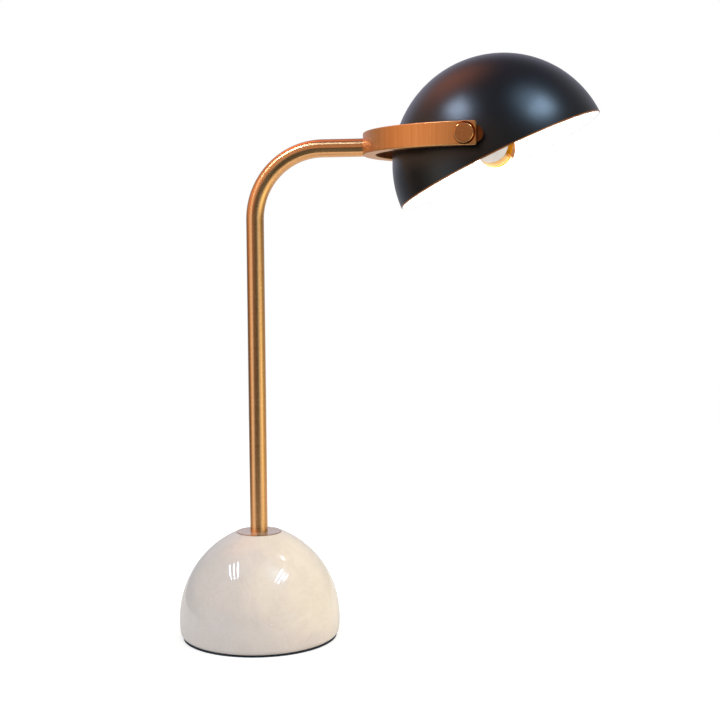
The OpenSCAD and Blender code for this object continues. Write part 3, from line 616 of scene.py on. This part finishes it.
# ---- Yoke ----
# A half ring of hollow rectangular brass, bent on edge round the back of the shade and
# brushed from top to bottom, with solid ends that are bored for the pivots. Its long edges
# are just broken, and a round flat is turned into each end under the pivot's cap.
ring_x, yoke_height, yoke_rise = 209.9, 19.1, 444.3
yoke_outer, yoke_thick, yoke_wall, yoke_edge = 109.6, 11.2, 1.6, 0.9
pivot_x, yoke_front = 197.4, 206.8
channel_end = 74.0
spot_radius, spot_depth = 7.95, 107.13
pocket_radius, pocket_depth, shaft_hole = 6.7, 100.01, 5.05
lead_hole, lead_hole_length, lead_hole_back = 5.0, 8, 4
shaft_start, past_pocket, past_yoke = 90, 104, 110


def rounded_box(inner, outer, height, radius, steps=6, rest=0.3):
    """The section of a bar, as (distance from the ring's centre, height) points. A point
    a little beyond each rounded corner keeps the flat sides flat in the light."""
    corners = ((outer - radius, height / 2 - radius, 0), (inner + radius, height / 2 - radius, 90),
               (inner + radius, radius - height / 2, 180), (outer - radius, radius - height / 2, 270))
    section = []
    for r, h, a in corners:
        bend = arc((r, h), radius, a, a + 90, steps)
        go_in = (-math.sin(math.radians(a)) * rest, math.cos(math.radians(a)) * rest)
        go_out = (-math.cos(math.radians(a)) * rest, -math.sin(math.radians(a)) * rest)
        section += [(bend[0][0] - go_in[0], bend[0][1] - go_in[1])]
        section += bend
        section += [(bend[-1][0] + go_out[0], bend[-1][1] + go_out[1])]
    return section


def half_ring(name, section, ends, material, stations=180, shrink=0.0):
    """A bar bent round the ring's centre, cut off square or at an angle from the back.
    Shrink breaks the edges of its ends, by making their faces that much smaller."""
    middle = np.mean(section, axis=0)
    small = [tuple(middle + (np.array(p) - middle) * (1 - shrink)) for p in section]
    rows = [(-1.0, small, 0.0)] if shrink else []
    end_bevel = shrink * 6
    rows += [(s, section, end_bevel) for s in np.linspace(-1, 1, stations)]
    rows += [(1.0, small, 0.0)] if shrink else []
    points, angles = [], []
    for s, outline, back in rows:
        for r, h in outline:
            a = s * ends(r, back)
            points.append(Vector((ring_x - r * math.cos(a), r * math.sin(a), yoke_rise + h)) * mm)
        angles.append(s * ends(yoke_outer, back))
    n = len(section)
    faces, marks = [], []
    girth = np.concatenate([[0], np.cumsum([math.dist(section[i], section[(i + 1) % n]) for i in range(n)])])
    for k in range(len(rows) - 1):
        for i in range(n):
            j = (i + 1) % n
            faces.append([k * n + i, k * n + j, (k + 1) * n + j, (k + 1) * n + i])
            u, v = angles[k] * yoke_outer * mm, angles[k + 1] * yoke_outer * mm
            marks += [u, girth[i] * mm, u, girth[i + 1] * mm, v, girth[i + 1] * mm, v, girth[i] * mm]
    for k, order in ((0, range(n - 1, -1, -1)), (len(rows) - 1, range(n))):
        faces.append([k * n + i for i in order])
        for i in order:
            marks += [section[i][0] * mm, section[i][1] * mm]
    piece = build(name, points, faces, [material] if material else [])
    piece.data.uv_layers.new(name="brush").data.foreach_set("uv", marks)
    return piece


yoke_brass = brushed("yoke_brass", (tone(211, 148, 90), tone(230, 168, 106)), (0.28, 0.38), line=1.3 * mm,
                     run=60.0, strength=0.1, contrast=0.16, lie="brush", Anisotropic=0.5)
turned_brass = grained("turned_brass", (tone(222, 164, 104), tone(236, 180, 120)), 1.5 * mm, (0.08, 0.13),
                       bump=0.03, depth=0.02 * mm, Metallic=1.0)
yoke_inner = yoke_outer - yoke_thick
yoke = half_ring("yoke_bar", rounded_box(yoke_inner, yoke_outer, yoke_height, yoke_edge),
                 lambda r, back: math.acos((ring_x - yoke_front + back) / r), yoke_brass, shrink=0.05)
channel = half_ring("channel", rounded_box(yoke_inner + yoke_wall, yoke_outer - yoke_wall,
                                           yoke_height - 2 * yoke_wall, 0.5, 2),
                    lambda r, back: math.radians(channel_end), None, stations=60)
forward = facing((stem_reach - lead_hole_back, 0, arm_height), (1, 0, 0))
cutters = [channel, peg(lead_hole, 0, lead_hole_length, forward, 48)]
for side in (-1, 1):
    outward = facing((pivot_x, 0, yoke_rise), (0, side, 0))
    cutters += [peg(spot_radius, spot_depth, past_yoke, outward, 96, turned_brass, flare=1.9),
                peg(pocket_radius, pocket_depth, past_yoke, outward, 64),
                peg(shaft_hole, shaft_start, past_pocket, outward, 64)]
yoke = cut(yoke, *cutters)
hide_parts("yoke")
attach(yoke, "stand")
dress("yoke_lead", sheath)


# ---- Pivots ----
# On each side a hollow steel shaft turns in the yoke. Its head is held in a pocket by a
# wave washer, and a nut inside the shade clamps the saddles and a fibre washer on it. A
# brass bearing plate is brazed inside the yoke.
# The bearing plates and outer saddles are painted a dark brown brass: painted shade, for the yoke's shadow that
# falls on them.
shaded_plate_brass = grained("shaded_plate_brass", (tone(108, 62, 34), tone(130, 78, 44)), 2.0 * mm, (0.10, 0.16),
                      bump=0.03, depth=0.02 * mm, Metallic=1.0)
fibre = grained("fibre", (tone(70, 34, 26), tone(96, 50, 38)), 0.5 * mm, (0.6, 0.8), bump=0.3, depth=0.05 * mm)
dress("bearing_plates", shaded_plate_brass, edge=0.7 * mm)
for node in ("wave_washers", "hollow_pivots", "pivot_nuts", "inner_saddles"):
    dress(node, plated)
dress("outer_saddles", shaded_plate_brass)
dress("friction_washers", fibre)


# ---- Pivot caps ----
# A turned brass cap is pressed into each pocket and covers the head of the pivot. Its flat
# face is brushed, and its rim is rounded.
cap_radius, cap_height, cap_edge, face_rest = 7.85, 3.2, 0.7, 0.3
plug_inner, plug_outer, plug_length, hollow_top = 5.4, 6.6, 1.2, 0.3
cap_outline = (
    [(0, hollow_top), (plug_inner, hollow_top), (plug_inner, -plug_length)]
    + [(plug_outer, -plug_length), (plug_outer, 0.0), (cap_radius, 0.0)]
    + arc((cap_radius - cap_edge, cap_height - cap_edge), cap_edge, 0, 90, 8)
    + [(cap_radius - cap_edge - face_rest, cap_height), (0, cap_height)])
rim_from, rim_to = 5, 13
cap_brass = grained("cap_brass", (tone(212, 142, 86), tone(228, 160, 102)), 1.5 * mm, (0.22, 0.28), bump=0.04,
                    depth=0.02 * mm, Metallic=1.0)


def joined(name, pieces):
    """Makes several solids into one piece."""
    bpy.ops.object.select_all(action="DESELECT")
    for piece in pieces:
        piece.select_set(True)
    bpy.context.view_layer.objects.active = pieces[0]
    bpy.ops.object.join()
    pieces[0].name = name
    return pieces[0]


caps = joined("end_caps", [
    weld(turned(f"cap_{side}", [(r * mm, h * mm) for r, h in cap_outline], [cap_brass, turned_brass], steps=96,
                parts_of=lambda i: 1 if rim_from <= i < rim_to else 0,
                place=facing((pivot_x, side * spot_depth, yoke_rise), (0, side, 0))))
    for side in (-1, 1)])
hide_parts("pivot_caps")
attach(caps, "stand")


# ---- Shade ----
# A dome spun from sheet metal, sprayed satin black outside and gloss white inside. The edge
# of the sheet is rounded, and a warm bronze band painted on it between the two paints is painted light, for the
# bulb's warm glow on that edge.
shade_radius, shade_sheet, rim_rise = 94.4, 1.2, 2.5
shade_tilt, pivot_back, pivot_up = 25.3, 13.2, 26.0
lip = shade_sheet / 2
shade_place = (
    Matrix.Translation(Vector((pivot_x, 0, yoke_rise)) * mm)
    @ Matrix.Rotation(math.radians(-shade_tilt), 4, "Y")
    @ Matrix.Translation(Vector((pivot_back, 0, -pivot_up)) * mm))
lip_height = rim_rise + lip
lip_start = math.degrees(math.asin(lip_height / (shade_radius - lip)))
edge_band = 0.3
outside = (arc((0, 0), shade_radius, 90, lip_start + edge_band, 110)
           + arc((0, 0), shade_radius, lip_start, lip_start, 1))
lip_middle = ((shade_radius - lip) * math.cos(math.radians(lip_start)), lip_height)
edge_turn = arc(lip_middle, lip, lip_start, lip_start - 180, 13)[1:-1]
inside = arc((0, 0), shade_radius - shade_sheet, lip_start, 90, 110)
shade_outline = [(max(r, 0) * mm, h * mm) for r, h in outside + edge_turn + inside]
black_paint = grained("black_satin", (tone(7, 7, 9), tone(11, 11, 13)), 1.1 * mm, (0.28, 0.34),
                      bump=0.03, depth=0.03 * mm, Specular_IOR_Level=0.5)
white_paint = grained("white_inside", (tone(247, 247, 246), tone(252, 252, 252)), 1.4 * mm, (0.3, 0.38),
                      bump=0.05, depth=0.05 * mm)
# The warm bronze on the rounded edge of the sheet is painted light: a glow of the bulb's warm light on that edge.
painted_rim_glow = grained("painted_rim_glow", (tone(128, 74, 22), tone(160, 98, 38)), 1.0 * mm, (0.3, 0.4),
                      bump=0.05, depth=0.03 * mm, Metallic=0.3)
glow_from, white_from = len(outside) - 2, len(outside) + len(edge_turn) // 2


def paint_of(i):
    """Which of the three finishes a strip of the spun outline takes."""
    return 0 if i < glow_from else 2 if i < white_from else 1


shade = weld(turned("shade_dome", shade_outline, [black_paint, white_paint, painted_rim_glow], steps=256,
                    parts_of=paint_of, place=shade_place, sharp=None))
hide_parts("shade_shell")
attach(shade, "shade")


# ---- Bracket ----
# A bent strip of white painted steel, on two studs welded inside the shade, holds the
# lampholder across the dome.
strip_paint = grained("strip_paint", (tone(248, 240, 234), tone(252, 247, 242)), 1.2 * mm, (0.35, 0.5),
                      bump=0.08, depth=0.05 * mm)
dress("holder_bracket", strip_paint, edge=0.25 * mm)
for node in ("bracket_studs", "bracket_nuts"):
    dress(node, plated)


# ---- Lampholder ----
# A brass cup on a threaded nipple, with a glazed ceramic core that carries the screw shell
# and the contacts. The white lead comes in through the nipple.
cup_brass = grained("cup_brass", (tone(210, 166, 44), tone(222, 178, 54)), 2.0 * mm, (0.34, 0.42), bump=0.08,
                    depth=0.03 * mm, stretch=(1, 8, 1), Metallic=1.0, Specular_Tint=(0.65, 0.38, 0.02, 1))
# The raised pad on the cup is real, but its deeper orange brass, darker than the cup's, is painted shade for that
# side of the cup being less lit.
shaded_pad_brass = grained("shaded_pad_brass", (tone(218, 134, 22), tone(236, 154, 34)), 1.6 * mm, (0.36, 0.46),
                    bump=0.1, depth=0.04 * mm, Metallic=1.0, Specular_Tint=(0.6, 0.32, 0.02, 1))
glaze = grained("glaze", (tone(232, 230, 222), tone(244, 242, 236)), 3.0 * mm, (0.12, 0.2), bump=0.05,
                depth=0.1 * mm)
holder_back, holder_up = 50.0, 14.5
holder_place = (shade_place @ Matrix.Translation(Vector((0, -holder_back, holder_up)) * mm)
                @ Matrix.Rotation(math.radians(-90), 4, "X"))
cup_radius, cup_sheet, cup_length, nipple_hole = 15.0, 1.0, 64.0, 5.2
cup_round, cup_rest, floor_extra = 0.8, 1.2, 0.5
bead_out, bead_start, bead_full = 0.5, 2, 1.6
cup_floor = cup_sheet + floor_extra
cup_outline = (
    [(nipple_hole, 0.0)]
    + arc((cup_radius - cup_round, cup_round), cup_round, -90, 0, 5)
    + [(cup_radius, cup_rest), (cup_radius, cup_length - bead_start)]
    + [(cup_radius + bead_out, cup_length - bead_full), (cup_radius + bead_out, cup_length)]
    + [(cup_radius - cup_sheet, cup_length), (cup_radius - cup_sheet, cup_floor), (nipple_hole, cup_floor)])
shell = turned("cup", [(r * mm, h * mm) for r, h in cup_outline], [cup_brass], steps=96, place=holder_place)
rib_out, rib_from, rib_to, rib_low, rib_high = 18.9, -16.0, 54.0, 0.3, 50.0


def raised_pad(name, inner, outer, low, high, start, end, place, material, steps=24):
    """A curved block on the outside of a tube, between two angles in degrees."""
    corner_cut = 0.6
    turn_angles = np.radians(np.linspace(start, end, steps))
    section = ((inner, low), (outer - corner_cut, low), (outer, low + corner_cut), (outer, high), (inner, high))
    points = [place @ (Vector((r * math.cos(a), r * math.sin(a), h)) * mm) for a in turn_angles for r, h in section]
    n = len(section)
    faces = [[k * n + i, (k + 1) * n + i, (k + 1) * n + (i + 1) % n, k * n + (i + 1) % n]
             for k in range(steps - 1) for i in range(n)]
    faces += [list(range(n)), [(steps - 1) * n + i for i in range(n - 1, -1, -1)]]
    return weld(build(name, points, faces, [material]))


rib = raised_pad("rib", cup_radius - 0.5, rib_out, rib_low, rib_high, rib_from, rib_to, holder_place, shaded_pad_brass)
cup = joined("lampholder_cup", [shell, rib])
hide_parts("holder_cup")
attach(cup, "shade")
dress("holder_core", glaze)
for node in ("core_ring", "holder_terminals", "screw_shell", "centre_contact"):
    dress(node, bright)
for node in ("entry_nipple", "nipple_nut"):
    dress(node, plated)
dress("holder_wires", core)
dress("shade_lead", sheath)


# ---- Bulb ----
# A small opal globe, lit, with a neck that runs into a ribbed aluminium screw cap, and a
# black glass insulator with its contact at the end.
cap_metal = grained("cap_metal", (tone(186, 186, 188), tone(208, 208, 210)), 1.2 * mm, (0.24, 0.36),
                    bump=0.1, depth=0.03 * mm, Metallic=1.0)
black_glass = grained("black_glass", (tone(14, 14, 16), tone(24, 24, 27)), 1.5 * mm, (0.1, 0.2), bump=0.05,
                      depth=0.05 * mm)
glass_post = grained("glass_post", (tone(220, 226, 224), tone(234, 238, 236)), 3.0 * mm, (0.05, 0.12),
                     bump=0.03, depth=0.1 * mm)
dress("bulb_cap", cap_metal)
dress("bulb_contact", cap_metal)
dress("bulb_insulator", black_glass)
dress("bulb_stem", glass_post)

globe_radius, glass_wall, neck_radius, glass_length, glass_start = 22.5, 0.9, 10.5, 52.0, 59.0
neck_join = -42.0


def glass_side(inset, steps=40):
    """One wall of the bulb, from its neck to its tip."""
    r, neck, middle = globe_radius - inset, neck_radius - inset, glass_length - globe_radius
    end = (r * math.cos(math.radians(neck_join)), middle + r * math.sin(math.radians(neck_join)))
    side = [(neck + (end[0] - neck) * t * t * (3 - 2 * t), inset + (end[1] - inset) * t)
            for t in np.linspace(0, 1, 14)]
    return side[:-1] + arc((0, middle), r, neck_join, 90, steps)


glass_outline = glass_side(0.0) + list(reversed(glass_side(glass_wall)))
opal = grained("opal", (tone(250, 240, 222), tone(255, 247, 232)), 4.0 * mm, (0.25, 0.35), bump=0.03,
               depth=0.1 * mm, Emission_Color=(1.0, 0.98, 0.95, 1))
bulb_light, bulb_glare = 8.0, 12.0
seen = put(opal, "LightPath").outputs["Is Glossy Ray"]
glare = put(opal, "MapRange", Value=seen, To_Min=bulb_light, To_Max=bulb_glare).outputs[0]
join(opal, glare, opal.node_tree.nodes["Principled BSDF"].inputs["Emission Strength"])
glass = turned("bulb_globe", [(max(r, 0) * mm, (h + glass_start) * mm) for r, h in glass_outline], [opal],
               steps=96, place=holder_place, sharp=60)
glass = weld(glass)
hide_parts("bulb_glass")
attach(glass, "shade")
